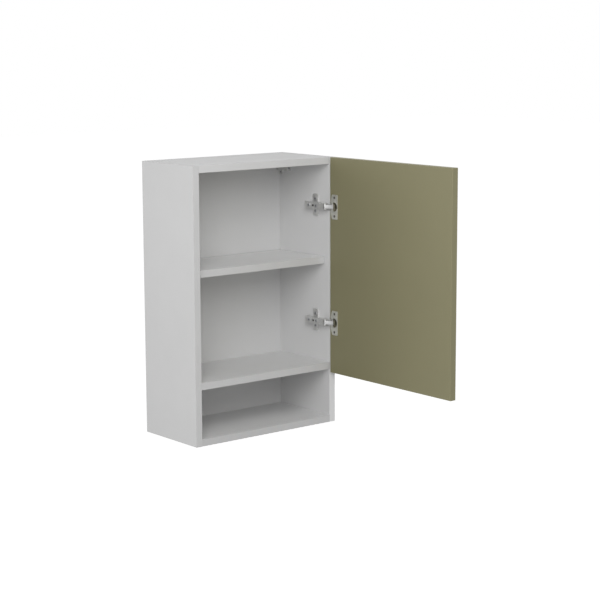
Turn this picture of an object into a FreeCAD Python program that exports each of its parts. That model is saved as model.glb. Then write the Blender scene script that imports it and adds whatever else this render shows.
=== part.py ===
import FreeCAD, Part
import os

from FreeCAD import Vector

# A wall cabinet of faced board: a closed cupboard over an open niche, with one overlay door on two
# concealed hinges. Millimetres. X runs to the right, Y towards the wall and Z up. The origin is on the wall
# face, at the middle of the width and level with the underside. The door stands open at a right angle.

# Boards
width = 450.0
height = 700.0
depth = 220.0
board = 18.0
edge_band = 1.0
band_round = 0.5
niche_height = 125.0

# Back panel, held in grooves
back_thickness = 3.0
back_inset = 10.0
groove_depth = 8.0
groove_play = 0.15
groove_end_play = 1.0

# Adjustable shelf and its pins
shelf_height = 421.0
shelf_setback = 20.0
shelf_side_play = 1.0
shelf_rear_play = 2.0
shelf_pin_radius = 2.5
shelf_pin_length = 15.0
shelf_pin_depth = 8.0
shelf_pin_inset = 40.0
shelf_pin_seat = 0.2
shelf_notch_play = 0.4

# Cam fittings and dowels between the boards
cam_radius = 7.5
cam_depth = 13.0
cam_from_end = 34.0
cam_slot_width = 1.6
cam_slot_depth = 2.0
cam_play = 0.1
bolt_thread_radius = 2.5
bolt_thread_length = 11.0
bolt_stem_radius = 3.0
bolt_neck_radius = 2.0
bolt_neck_length = 8.0
bolt_head_length = 3.0
bolt_bore_play = 0.6
fitting_front = 37.0
fitting_rear = 50.0
dowel_radius = 4.0
dowel_in_side = 11.0
dowel_in_panel = 19.0
dowel_pitch = 32.0
hole_play = 0.05
hole_end_play = 1.0

# Wall hangers
hanger_length = 46.0
hanger_thick = 12.0
hanger_tall = 27.0
hanger_round = 2.0
hanger_play = 0.5
hanger_lug_length = 14.0
hanger_lug_drop = 11.0
hanger_lug_thick = 3.0
hook_thick = 3.0
hook_tall = 12.0
hook_tail = 28.0
hook_tip = 3.5
hook_tip_drop = 14.0
hook_wall_gap = 1.5
hook_play = 0.4
hook_slot_play = 3.0
adjuster_radius = 3.0
adjuster_length = 14.0
adjuster_spread = 14.0
adjuster_proud = 0.8
hanger_screw_radius = 2.0
hanger_screw_head_radius = 3.4
hanger_screw_head = 1.8
hanger_screw_length = 12.0
hanger_screw_inset = 7.0

# Door
door_thickness = 18.0
door_gap = 3.0
door_drop = 8.0
door_edge_round = 0.8
door_opening = 90.0
door_full_opening = 110.0

# Hinge places, and the share of the door's turn that each hinge link makes
hinge_from_top = 127.5
hinge_from_bottom = 133.5
outer_link_ratio = -0.288
inner_link_ratio = -0.42

# Hinge pivots with the door closed: in from the side panel and back from the front on the arm, and in from
# the door's edge and down from its inner face in the cup
arm_pivot_in = 13.6
arm_pivot_back = 2.6
slide_pin_in = 10.4
slide_pin_back = 8.7
slide_turn_angle = 45.0
cup_pivot_edge = 9.6
cup_pivot_depth = 4.7
inner_pivot_edge = 7.6
inner_pivot_depth = 1.0
outer_knee_edge = 14.4
outer_knee_depth = 10.95
inner_knee_edge = 13.1
inner_knee_depth = 4.5

# Hinge links and pins
link_thick = 1.5
link_eye_radius = 2.2
link_barrel_tall = 14.0
outer_link_tall = 9.4
inner_link_plate = 1.4
link_play = 0.3
hinge_pin_radius = 1.0
running_fit = 0.05
slide_play = 0.55

# Hinge arm: a channel over the mounting plate
arm_stand = 17.5
arm_wall = 1.2
arm_play = 0.3
arm_cheek = 10.6
arm_nose = 2.8
arm_rear = 80.0
arm_screw_places = (34.5, 64.0)
arm_screw_radius = 2.4
arm_screw_depth = 9.0
arm_window_place = 47.0
arm_window_length = 8.0
arm_window_tall = 5.0
arm_window_round = 2.4

# Mounting plate: two wings on the side panel and a block under the arm
plate_place = 54.0
plate_wing_tall = 58.0
plate_wing_width = 19.0
plate_wing_thick = 3.0
plate_wing_round = 4.0
plate_block_front = 22.0
plate_block_rear = 78.0
plate_block_play = 0.2
plate_window_depth = 10.0
plate_screw_pitch = 32.0
plate_screw_radius = 2.5
plate_screw_depth = 11.0

# Hinge cup in the door
cup_radius = 13.0
cup_edge = 16.0
cup_depth = 12.8
cup_wall = 1.0
cup_floor = 0.8
cup_play = 0.1
cup_mouth = 14.0
cup_pin_seat = 1.6
cup_boss = 2.4
flange_tall = 64.0
flange_near = 8.0
flange_far = 30.0
flange_nose = 2.5
flange_nose_tall = 28.0
flange_thick = 1.2
flange_round = 3.0
cup_screw_pitch = 48.0
cup_screw_offset = 2.0
cup_screw_radius = 1.75
cup_screw_depth = 12.0

# Screw heads of the hinges
screw_head_share = 1.85
screw_head_tall = 0.9
screw_slot_share = 0.5
screw_slot_depth = 0.45
screw_hole_play = 0.2

os.makedirs("parts", exist_ok=True)

# Planes that the pieces share
half = width / 2
inner = half - board
front = -depth
core_front = front + edge_band
back_front = -back_inset - back_thickness
top_underside = height - board
fixed_shelf_underside = board + niche_height
RIGHT = Vector(1, 0, 0)
UP = Vector(0, 0, 1)
FORWARD = Vector(0, -1, 0)
SIDES = (-1, 1)


def box(x, y, z):
    """A block between two values on each axis."""
    corner = Vector(min(x), min(y), min(z))
    return Part.makeBox(abs(x[1] - x[0]), abs(y[1] - y[0]), abs(z[1] - z[0]), corner)


def rod(radius, start, end):
    """A round bar between two points."""
    return Part.makeCylinder(radius, start.distanceToPoint(end), start, end - start)


def cross_bar(radius, side, start, end, y, z):
    """A round bar along X between two distances from the middle of the cabinet, on one side of it."""
    return rod(radius, Vector(side * start, y, z), Vector(side * end, y, z))


def fuse_all(shapes):
    """One solid from overlapping or touching ones."""
    return shapes[0].multiFuse(shapes[1:]).removeSplitter()


def save(name, *solids):
    """One node: a single solid, or a group of separate solids."""
    shape = solids[0] if len(solids) == 1 else Part.makeCompound(list(solids))
    shape.exportStep("parts/" + name + ".step")


def straight_edges(shape, axis, test):
    """Straight edges parallel to an axis whose middle passes a test."""
    chosen = []
    for edge in shape.Edges:
        if edge.Curve.TypeId != "Part::GeomLine":
            continue
        along = edge.tangentAt(edge.FirstParameter)
        if abs(along.dot(axis)) > 0.999 and test(edge.CenterOfMass):
            chosen.append(edge)
    return chosen


def eased_strip(x, y, z, along, outward, radius):
    """A straight strip with the two long arrises of its outward face eased."""
    plain = box(x, y, z)
    centre = plain.CenterOfMass
    arrises = straight_edges(plain, along, lambda middle: (middle - centre).dot(outward) > 0)
    return plain.makeFillet(radius, arrises)


def upright_band(x, z):
    """Edge band on the front of a side panel."""
    return eased_strip(x, (front, core_front), z, UP, FORWARD, band_round)


def level_band(x, z, face=front):
    """Edge band on the front of a horizontal board."""
    return eased_strip(x, (face, face + edge_band), z, RIGHT, FORWARD, band_round)


# Cam fittings and dowels, at both ends of a horizontal board
fitting_rows = (front + fitting_front, -fitting_rear)
dowel_rows = (fitting_rows[0] + dowel_pitch, fitting_rows[1] - dowel_pitch)
bolt_bore_radius = bolt_stem_radius + bolt_bore_play


def cam_bolt(side, y, z):
    """Turned bolt: thread in the side panel, then stem, neck and head towards the cam."""
    head_start = inner - cam_from_end + bolt_head_length
    neck_start = head_start + bolt_neck_length
    thread = cross_bar(bolt_thread_radius, side, inner + bolt_thread_length, inner, y, z)
    stem = cross_bar(bolt_stem_radius, side, inner, neck_start, y, z)
    neck = cross_bar(bolt_neck_radius, side, neck_start, head_start, y, z)
    head = cross_bar(bolt_stem_radius, side, head_start, inner - cam_from_end, y, z)
    return fuse_all([thread, stem, neck, head])


def cam_pocket(side, y, face, into, radius):
    """Round of cam depth from a board's face, into the board."""
    centre = Vector(side * (inner - cam_from_end), y, face)
    return rod(radius, centre, centre + UP * (into * cam_depth))


def cam_lock(side, y, z, face, into):
    """Round cam with a cross slot in its face and a hollow for the bolt's head."""
    lock = cam_pocket(side, y, face, into, cam_radius - cam_play)
    hollow = cross_bar(bolt_bore_radius, side, inner, inner - cam_from_end - bolt_head_length, y, z)
    x = side * (inner - cam_from_end)
    slot_half = cam_slot_width / 2
    slot_z = (face, face + into * cam_slot_depth)
    along = box((x - cam_radius, x + cam_radius), (y - slot_half, y + slot_half), slot_z)
    across = box((x - slot_half, x + slot_half), (y - cam_radius / 2, y + cam_radius / 2), slot_z)
    return lock.cut([hollow, along, across])


class Joinery:
    """The cams, bolts, dowels and holes of one horizontal board."""

    def __init__(self, underside, cams_on_top):
        self.middle = underside + board / 2
        self.face = underside + board if cams_on_top else underside
        self.into = -1 if cams_on_top else 1

    def locks(self):
        return [cam_lock(side, y, self.middle, self.face, self.into) for side in SIDES for y in fitting_rows]

    def bolts(self, side):
        return [cam_bolt(side, y, self.middle) for y in fitting_rows]

    def dowels(self, side, radius=dowel_radius, end_play=0.0):
        start = inner + dowel_in_side + end_play
        end = inner - dowel_in_panel - end_play
        return [cross_bar(radius, side, start, end, y, self.middle) for y in dowel_rows]

    def dowel_holes(self, side):
        return self.dowels(side, dowel_radius + hole_play, hole_end_play)

    def side_holes(self, side):
        radius = bolt_thread_radius + hole_play
        end = inner + bolt_thread_length + hole_end_play
        threads = [cross_bar(radius, side, inner, end, y, self.middle) for y in fitting_rows]
        return threads + self.dowel_holes(side)

    def board_holes(self):
        holes = []
        for side in SIDES:
            holes += self.dowel_holes(side)
            for y in fitting_rows:
                holes.append(cam_pocket(side, y, self.face, self.into, cam_radius))
                holes.append(cross_bar(bolt_bore_radius, side, inner, inner - cam_from_end, y, self.middle))
        return holes


top_joinery = Joinery(top_underside, True)
shelf_joinery = Joinery(fixed_shelf_underside, False)
bottom_joinery = Joinery(0.0, False)
all_joinery = (top_joinery, shelf_joinery, bottom_joinery)

# Grooves for the back panel
groove_y = (back_front - groove_play, -back_inset + groove_play)
panel_span = (-inner, inner)


def side_groove(side):
    return box((side * inner, side * (inner + groove_depth)), groove_y, (0, height))


# Shelf pins: four, level with the shelf's underside and let into notches in it
shelf_front = front + shelf_setback
shelf_rear = back_front - shelf_rear_play
shelf_pin_z = shelf_height + shelf_pin_radius - shelf_pin_seat
shelf_pin_rows = (shelf_front + shelf_pin_inset, shelf_rear - shelf_pin_inset)
shelf_pin_reach = shelf_pin_length - shelf_pin_depth


def shelf_pin(side, y):
    return cross_bar(shelf_pin_radius, side, inner + shelf_pin_depth, inner - shelf_pin_reach, y, shelf_pin_z)


def shelf_pin_hole(side, y):
    end = inner + shelf_pin_depth + hole_end_play
    return cross_bar(shelf_pin_radius + hole_play, side, inner, end, y, shelf_pin_z)


def shelf_notch(side, y):
    half_width = shelf_pin_radius + shelf_notch_play
    x = (side * inner, side * (inner - shelf_pin_reach - shelf_notch_play))
    return box(x, (y - half_width, y + half_width), (shelf_height, shelf_height + 2 * shelf_pin_radius))


# Wall hangers in the upper rear corners
hanger_rear = back_front - hanger_play
hanger_front = hanger_rear - hanger_length
hanger_top = top_underside - hanger_play
hanger_bottom = hanger_top - hanger_tall
hanger_middle = (hanger_top + hanger_bottom) / 2
hook_x = inner - hanger_thick / 2
hanger_screw_places = (
    (hanger_front + hanger_screw_inset, hanger_middle, hanger_thick),
    (hanger_rear - hanger_lug_length / 2, hanger_bottom - hanger_lug_drop / 2, hanger_lug_thick),
)


def hanger_adjuster(side, z, play):
    """Adjusting screw in the front of a hanger, or its hole."""
    start = Vector(side * hook_x, hanger_front - adjuster_proud, z)
    return rod(adjuster_radius + play, start, start + Vector(0, adjuster_length + play, 0))


def hanger_screw(side, y, z, grip, play):
    """Fixing screw through a hanger into the side panel, or its hole."""
    face = inner - grip
    shank = cross_bar(hanger_screw_radius + play, side, face, face + hanger_screw_length + grip, y, z)
    head = cross_bar(hanger_screw_head_radius + play, side, face - play, face + hanger_screw_head, y, z)
    return fuse_all([shank, head])


def hanger_hook(side, play):
    """Flat hook in the YZ plane: a tail in the housing and a tip that drops behind the wall rail."""
    low = hanger_middle - hook_tall / 2 - play
    high = hanger_middle + hook_tall / 2 + play
    x = (side * (hook_x - hook_thick / 2 - play), side * (hook_x + hook_thick / 2 + play))
    tail = box(x, (hanger_rear - hook_tail - play, -hook_wall_gap), (low, high))
    tip = box(x, (-hook_wall_gap - hook_tip, -hook_wall_gap), (low - hook_tip_drop, high))
    return fuse_all([tail, tip])


def hanger_body(side):
    """Housing against the side panel, with a fixing lug under its rear end."""
    block = box((side * inner, side * (inner - hanger_thick)), (hanger_front, hanger_rear),
                (hanger_bottom, hanger_top))
    rounded = straight_edges(block, UP, lambda middle: abs(middle.x) < hook_x)
    block = block.makeFillet(hanger_round, rounded)
    lug_y = (hanger_rear - hanger_lug_length, hanger_rear)
    lug_z = (hanger_bottom - hanger_lug_drop, hanger_bottom)
    lug = box((side * inner, side * (inner - hanger_lug_thick)), lug_y, lug_z)
    holes = [hanger_hook(side, hook_play)]
    for sign in SIDES:
        holes.append(hanger_adjuster(side, hanger_middle + sign * adjuster_spread / 2, hole_play))
    for y, z, grip in hanger_screw_places:
        holes.append(hanger_screw(side, y, z, grip, hole_play))
    return fuse_all([block, lug]).cut(holes)


def hook_slot(side):
    """Slot in the back panel that a hook passes through, with room for its adjustment."""
    reach = hook_thick / 2 + hook_slot_play
    rise = hook_tall / 2 + hook_slot_play
    return box((side * hook_x - reach, side * hook_x + reach), (back_front, -back_inset),
               (hanger_middle - rise, hanger_middle + rise))


def hanger_panel_holes(side):
    return [hanger_screw(side, y, z, grip, hole_play) for y, z, grip in hanger_screw_places]


# Hinge places in the door's closed pose
door_bottom = fixed_shelf_underside - door_drop
door_inner = front - door_gap
hinge_levels = {"upper": height - hinge_from_top, "lower": door_bottom + hinge_from_bottom}


def on_arm(inward, backward):
    """Plan point given from the right side panel's inner face and the front of the carcass."""
    return Vector(inner - inward, front + backward, 0)


def in_door(edge, down):
    """Plan point in the closed door, given from its hinge edge and its inner face."""
    return Vector(half - edge, door_inner - down, 0)


def turned(point, centre, degrees):
    """A plan point turned about another."""
    return centre + FreeCAD.Rotation(UP, degrees).multVec(point - centre)


arm_pivot = on_arm(arm_pivot_in, arm_pivot_back)
slide_pin_closed = on_arm(slide_pin_in, slide_pin_back)
cup_pivot = in_door(cup_pivot_edge, cup_pivot_depth)
inner_pivot = in_door(inner_pivot_edge, inner_pivot_depth)
outer_knee = in_door(outer_knee_edge, outer_knee_depth)
inner_knee = in_door(inner_knee_edge, inner_knee_depth)


def cup_pivot_at(angle):
    return turned(cup_pivot, arm_pivot, outer_link_ratio * angle)


def inner_pivot_at(angle):
    return cup_pivot_at(angle) + turned(inner_pivot, cup_pivot, angle) - cup_pivot


def slide_pin_at(angle):
    swung = turned(slide_pin_closed, inner_pivot, inner_link_ratio * angle)
    return swung + inner_pivot_at(angle) - inner_pivot


def posed(shape, centre, degrees, shift):
    """A copy of a shape, turned about an upright line and moved."""
    copy = shape.copy()
    copy.rotate(centre, UP, degrees)
    copy.translate(shift)
    return copy


def outer_link_pose(shape, angle=door_opening):
    """A closed outer link with the door opened to an angle."""
    return posed(shape, arm_pivot, outer_link_ratio * angle, Vector())


def door_pose(shape, angle=door_opening):
    """A piece of the closed door with the door opened to an angle."""
    return posed(shape, cup_pivot, angle, cup_pivot_at(angle) - cup_pivot)


def inner_link_pose(shape, angle=door_opening):
    """A closed inner link with the door opened to an angle."""
    return posed(shape, inner_pivot, inner_link_ratio * angle, inner_pivot_at(angle) - inner_pivot)


def post(radius, point, level, tall):
    """An upright round bar, centred on a level."""
    return rod(radius, point + UP * (level - tall / 2), point + UP * (level + tall / 2))


def strip(start, end, thick, low, high):
    """An upright strip between two plan points, with round ends."""
    along = end - start
    across = Vector(-along.y, along.x, 0).normalize() * (thick / 2)
    corners = [start + across, start - across, end - across, end + across, start + across]
    outline = Part.makePolygon([corner + UP * low for corner in corners])
    web = Part.Face(outline).extrude(UP * (high - low))
    ends = [rod(thick / 2, point + UP * low, point + UP * high) for point in (start, end)]
    return fuse_all([web] + ends)


def rounded_plate(x, y, z, axis, radius):
    """A plate with its four corners rounded about an axis."""
    plate = box(x, y, z)
    return plate.makeFillet(radius, straight_edges(plate, axis, lambda middle: True))


def screw(seat, inward, radius, length):
    """Screw with a cross-slotted head on a seat, its shank running inward."""
    head_radius = radius * screw_head_share
    top = seat - inward * screw_head_tall
    shank = rod(radius, seat, seat + inward * length)
    head = rod(head_radius, top, seat)
    slot_half = head_radius * screw_slot_share
    slot_width = radius * screw_slot_share
    slots = []
    for line, other in ((inward.cross(UP), UP), (UP, inward.cross(UP))):
        corner = top - line * slot_half - other * (slot_width / 2)
        far = corner + line * (2 * slot_half)
        rise = other * slot_width
        outline = Part.makePolygon([corner, far, far + rise, corner + rise, corner])
        slots.append(Part.Face(outline).extrude(inward * screw_slot_depth))
    return fuse_all([shank, head]).cut(slots)


# Mounting plate and arm
arm_inside_tall = link_barrel_tall + 2 * arm_play
arm_tall = arm_inside_tall + 2 * arm_wall
arm_web_x = (inner - arm_stand, inner - arm_stand + arm_wall)
arm_nose_y = arm_pivot.y - arm_nose
arm_rear_y = front + arm_rear
plate_y = front + plate_place


def plate_screw_seats(level):
    x = inner - plate_wing_thick
    return [Vector(x, plate_y, level + sign * plate_screw_pitch / 2) for sign in SIDES]


def plate_screws(level):
    length = plate_wing_thick + plate_screw_depth
    return [screw(seat, RIGHT, plate_screw_radius, length) for seat in plate_screw_seats(level)]


def hinge_panel_holes():
    """Holes for the mounting plates' screws in the right side panel."""
    holes = []
    for level in hinge_levels.values():
        for sign in SIDES:
            z = level + sign * plate_screw_pitch / 2
            end = inner + plate_screw_depth + hole_end_play
            holes.append(cross_bar(plate_screw_radius + hole_play, 1, inner, end, plate_y, z))
    return holes


def arm_screw_seats(level):
    return [Vector(inner - arm_stand, front + place, level) for place in arm_screw_places]


def arm_screws(level):
    length = arm_wall + arm_screw_depth
    return [screw(seat, RIGHT, arm_screw_radius, length) for seat in arm_screw_seats(level)]


def arm_window(level, x):
    """Rounded window in the arm's web and the hollow under it in the plate's block."""
    window_front = front + arm_window_place - arm_window_length / 2
    return rounded_plate(x, (window_front, window_front + arm_window_length),
                         (level - arm_window_tall / 2, level + arm_window_tall / 2), RIGHT, arm_window_round)


def mounting_plate(level):
    wing_half = plate_wing_width / 2
    wings = rounded_plate((inner - plate_wing_thick, inner), (plate_y - wing_half, plate_y + wing_half),
                          (level - plate_wing_tall / 2, level + plate_wing_tall / 2), RIGHT, plate_wing_round)
    block_half = arm_inside_tall / 2 - plate_block_play
    block_face = arm_web_x[1] + plate_block_play
    block = box((block_face, inner),
                (front + plate_block_front, front + plate_block_rear),
                (level - block_half, level + block_half))
    holes = [arm_window(level, (block_face, block_face + plate_window_depth))]
    for seat in plate_screw_seats(level):
        holes.append(rod(plate_screw_radius + screw_hole_play, seat, seat + RIGHT * plate_wing_thick))
    for seat in arm_screw_seats(level):
        end = seat + RIGHT * (arm_wall + arm_screw_depth + hole_end_play)
        holes.append(rod(arm_screw_radius + hole_play, seat, end))
    return fuse_all([wings, block]).cut(holes)


def arm_slot(level):
    """Slot through both cheeks for the inner link's sliding pin."""
    ends = [slide_pin_at(door_full_opening), slide_pin_at(slide_turn_angle)]
    thick = 2 * (hinge_pin_radius + slide_play)
    return strip(ends[0], ends[1], thick, level - arm_tall / 2, level + arm_tall / 2)


def hinge_arm(level):
    """Channel with its web towards the room, two cheeks that hold the pins and screw holes over the plate."""
    web_front = arm_pivot.y + link_eye_radius + link_play
    web = box(arm_web_x, (web_front, arm_rear_y), (level - arm_tall / 2, level + arm_tall / 2))
    cheeks = []
    for sign in SIDES:
        z = (level + sign * arm_inside_tall / 2, level + sign * arm_tall / 2)
        cheeks.append(box((arm_web_x[0], arm_web_x[0] + arm_cheek), (arm_nose_y, arm_rear_y), z))
    holes = [arm_slot(level), post(hinge_pin_radius + hole_play, arm_pivot, level, arm_tall)]
    for seat in arm_screw_seats(level):
        holes.append(rod(arm_screw_radius + screw_hole_play, seat, seat + RIGHT * arm_wall))
    return fuse_all([web] + cheeks).cut(holes + [arm_window(level, arm_web_x)])


# Links
inner_link_low = outer_link_tall / 2 + link_play
inner_link_high = inner_link_low + inner_link_plate


def outer_link(level):
    """Bright bent link from a barrel on the arm to a barrel in the cup."""
    low = level - outer_link_tall / 2
    high = level + outer_link_tall / 2
    bore = hinge_pin_radius + running_fit
    pieces = [strip(arm_pivot, outer_knee, link_thick, low, high),
              strip(outer_knee, cup_pivot, link_thick, low, high),
              post(link_eye_radius, arm_pivot, level, link_barrel_tall),
              post(link_eye_radius, cup_pivot, level, outer_link_tall)]
    bores = [post(bore, pivot, level, link_barrel_tall) for pivot in (arm_pivot, cup_pivot)]
    return fuse_all(pieces).cut(bores)


def inner_link(level):
    """Two bent plates above and below the outer link, joined by a sleeve on the sliding pin."""
    pieces = [post(link_eye_radius, slide_pin_closed, level, 2 * inner_link_high)]
    for low in (level - inner_link_high, level + inner_link_low):
        high = low + inner_link_plate
        pieces.append(strip(slide_pin_closed, inner_knee, link_thick, low, high))
        pieces.append(strip(inner_knee, inner_pivot, link_thick, low, high))
        pieces.append(rod(link_eye_radius, inner_pivot + UP * low, inner_pivot + UP * high))
    bores = [post(hinge_pin_radius + running_fit, inner_pivot, level, 2 * inner_link_high),
             post(hinge_pin_radius + hole_play, slide_pin_closed, level, 2 * inner_link_high)]
    return fuse_all(pieces).cut(bores)


# Cup, in the closed door
cup_pin_length = cup_mouth + 2 * cup_pin_seat


def cup_screw_seats(level):
    seat = in_door(cup_edge + cup_screw_offset, -flange_thick)
    return [seat + UP * (level + sign * cup_screw_pitch / 2) for sign in SIDES]


def cup_screws(level):
    length = flange_thick + cup_screw_depth
    return [screw(seat, FORWARD, cup_screw_radius, length) for seat in cup_screw_seats(level)]


def cup_pins(level, radius=hinge_pin_radius):
    return [post(radius, pivot, level, cup_pin_length) for pivot in (cup_pivot, inner_pivot)]


def cup_flange(level):
    """Plate on the door's face: two screw wings and a nose towards the door's edge."""
    low = level - flange_tall / 2
    high = level + flange_tall / 2
    outline = [(flange_near, low), (flange_far, low), (flange_far, high), (flange_near, high),
               (flange_nose, level + flange_nose_tall / 2), (flange_nose, level - flange_nose_tall / 2)]
    corners = [in_door(edge, 0.0) + UP * z for edge, z in outline]
    plate = Part.Face(Part.makePolygon(corners + corners[:1])).extrude(-FORWARD * flange_thick)
    return plate.makeFillet(flange_round, straight_edges(plate, FORWARD, lambda middle: True))


def cup_pocket(level, mouth, floor):
    """Round hollow that the links fold into, narrowed between the bosses that hold the pins."""
    hollow = rod(cup_radius - cup_wall, mouth, floor)
    sides = (mouth.x - cup_radius, mouth.x + cup_radius)
    narrow = box(sides, (mouth.y, floor.y), (level - cup_mouth / 2, level + cup_mouth / 2))
    wide = box((sides[0], cup_pivot.x - cup_boss), (mouth.y, floor.y),
               (level - cup_radius, level + cup_radius))
    return hollow.common(narrow.fuse(wide))


def hinge_cup(level):
    """Round cup with a flange on the door's face."""
    centre = in_door(cup_edge, 0.0) + UP * level
    body = rod(cup_radius - cup_play, centre, centre + FORWARD * cup_depth)
    pocket = cup_pocket(level, centre - FORWARD * flange_thick, centre + FORWARD * (cup_depth - cup_floor))
    relief_tall = 2 * (inner_link_high + link_play)
    notch = box((inner_pivot.x, in_door(flange_nose, 0.0).x), (door_inner, door_inner + flange_thick),
                (level - relief_tall / 2, level + relief_tall / 2))
    holes = [pocket, notch, post(link_eye_radius + link_play, inner_pivot, level, relief_tall)]
    holes.append(strip(arm_pivot, outer_knee, link_thick + 2 * link_play,
                       level - outer_link_tall / 2 - link_play, level + outer_link_tall / 2 + link_play))
    holes += cup_pins(level, hinge_pin_radius + hole_play)
    for seat in cup_screw_seats(level):
        holes.append(rod(cup_screw_radius + screw_hole_play, seat, seat + FORWARD * flange_thick))
    return fuse_all([body, cup_flange(level)]).cut(holes)


# Door, closed
door_y = (door_inner - door_thickness, door_inner)
door_z = (door_bottom, height)
core_x = (-half + edge_band, half - edge_band)
core_z = (door_bottom + edge_band, height - edge_band)


def door_holes():
    """Bores for the cups and pilot holes for their screws."""
    holes = []
    for level in hinge_levels.values():
        centre = in_door(cup_edge, 0.0) + UP * level
        holes.append(rod(cup_radius, centre, centre + FORWARD * (cup_depth + cup_play)))
        for seat in cup_screw_seats(level):
            end = seat + FORWARD * (flange_thick + cup_screw_depth + hole_end_play)
            holes.append(rod(cup_screw_radius + hole_play, seat, end))
    return holes


def door_bands():
    """Four bands round the door's core, with eased arrises."""
    strips = [((-half, core_x[0]), door_z, UP, -RIGHT), ((core_x[1], half), door_z, UP, RIGHT),
              (core_x, (door_bottom, core_z[0]), RIGHT, -UP), (core_x, (core_z[1], height), RIGHT, UP)]
    return [eased_strip(x, door_y, z, along, outward, door_edge_round) for x, z, along, outward in strips]


# Side panels
def side_panel(side, extra_holes):
    panel = box((side * inner, side * half), (core_front, 0), (0, height))
    holes = [side_groove(side)] + hanger_panel_holes(side) + extra_holes
    for joinery in all_joinery:
        holes += joinery.side_holes(side)
    holes += [shelf_pin_hole(side, y) for y in shelf_pin_rows]
    return panel.cut(holes)


save("left_side_panel", side_panel(-1, []))
save("right_side_panel", side_panel(1, hinge_panel_holes()))
save("left_side_edge_band", upright_band((-half, -inner), (0, height)))
save("right_side_edge_band", upright_band((inner, half), (0, height)))

# Top, bottom and fixed shelf
top_groove = box(panel_span, groove_y, (top_underside, top_underside + groove_depth))
bottom_groove = box(panel_span, groove_y, (board - groove_depth, board))
fixed_shelf_z = (fixed_shelf_underside, fixed_shelf_underside + board)
top_panel = box(panel_span, (core_front, 0), (top_underside, height))
bottom_panel = box(panel_span, (core_front, 0), (0, board))
fixed_shelf = box(panel_span, (core_front, back_front - groove_play), fixed_shelf_z)
save("top_panel", top_panel.cut(top_joinery.board_holes() + [top_groove]))
save("bottom_panel", bottom_panel.cut(bottom_joinery.board_holes() + [bottom_groove]))
save("fixed_shelf", fixed_shelf.cut(shelf_joinery.board_holes()))
save("top_edge_band", level_band(panel_span, (top_underside, height)))
save("bottom_edge_band", level_band(panel_span, (0, board)))
save("fixed_shelf_edge_band", level_band(panel_span, fixed_shelf_z))

# Back panel
back_reach = inner + groove_depth - groove_end_play
back_low = board - groove_depth + groove_end_play
back_high = top_underside + groove_depth - groove_end_play
back_panel = box((-back_reach, back_reach), (back_front, -back_inset), (back_low, back_high))
save("back_panel", back_panel.cut([hook_slot(side) for side in SIDES]))

# Adjustable shelf
shelf_reach = inner - shelf_side_play
shelf_z = (shelf_height, shelf_height + board)
shelf = box((-shelf_reach, shelf_reach), (shelf_front + edge_band, shelf_rear), shelf_z)
save("adjustable_shelf", shelf.cut([shelf_notch(side, y) for side in SIDES for y in shelf_pin_rows]))
save("adjustable_shelf_edge_band", level_band((-shelf_reach, shelf_reach), shelf_z, shelf_front))
save("shelf_pins", *[shelf_pin(side, y) for side in SIDES for y in shelf_pin_rows])

# Fittings
save("top_cam_locks", *top_joinery.locks())
save("fixed_shelf_cam_locks", *shelf_joinery.locks())
save("bottom_cam_locks", *bottom_joinery.locks())
for side, word in ((-1, "left"), (1, "right")):
    save(word + "_cam_bolts", *[bolt for joinery in all_joinery for bolt in joinery.bolts(side)])
    save(word + "_dowels", *[dowel for joinery in all_joinery for dowel in joinery.dowels(side)])
    save(word + "_hanger_body", hanger_body(side))
    save(word + "_hanger_hook", hanger_hook(side, 0.0))
    save(word + "_hanger_adjusters",
         *[hanger_adjuster(side, hanger_middle + sign * adjuster_spread / 2, 0.0) for sign in SIDES])
    save(word + "_hanger_screws",
         *[hanger_screw(side, y, z, grip, 0.0) for y, z, grip in hanger_screw_places])

# Door and hinges, with the door at its opening
save("door_panel", door_pose(box(core_x, door_y, core_z).cut(door_holes())))
save("door_edge_bands", *[door_pose(strip_band) for strip_band in door_bands()])
for word, level in hinge_levels.items():
    hinge = word + "_hinge_"
    save(hinge + "plate", mounting_plate(level))
    save(hinge + "plate_screws", *plate_screws(level))
    save(hinge + "arm", hinge_arm(level))
    save(hinge + "arm_screws", *arm_screws(level))
    save(hinge + "arm_pin", post(hinge_pin_radius, arm_pivot, level, arm_tall))
    save(hinge + "outer_link", outer_link_pose(outer_link(level)))
    save(hinge + "inner_link", inner_link_pose(inner_link(level)))
    save(hinge + "slide_pin", inner_link_pose(post(hinge_pin_radius, slide_pin_closed, level, arm_tall)))
    save(hinge + "cup", door_pose(hinge_cup(level)))
    save(hinge + "cup_pins", *[door_pose(pin) for pin in cup_pins(level)])
    save(hinge + "cup_screws", *[door_pose(cup_screw) for cup_screw in cup_screws(level)])
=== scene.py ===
"""Finishes, hardware, studio and camera for a laundry wall cabinet with an olive door."""

import logging
import math
from dataclasses import dataclass, replace
from enum import Enum
from functools import cache

import bmesh
import bpy
from mathutils import Color, Matrix, Vector


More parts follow.
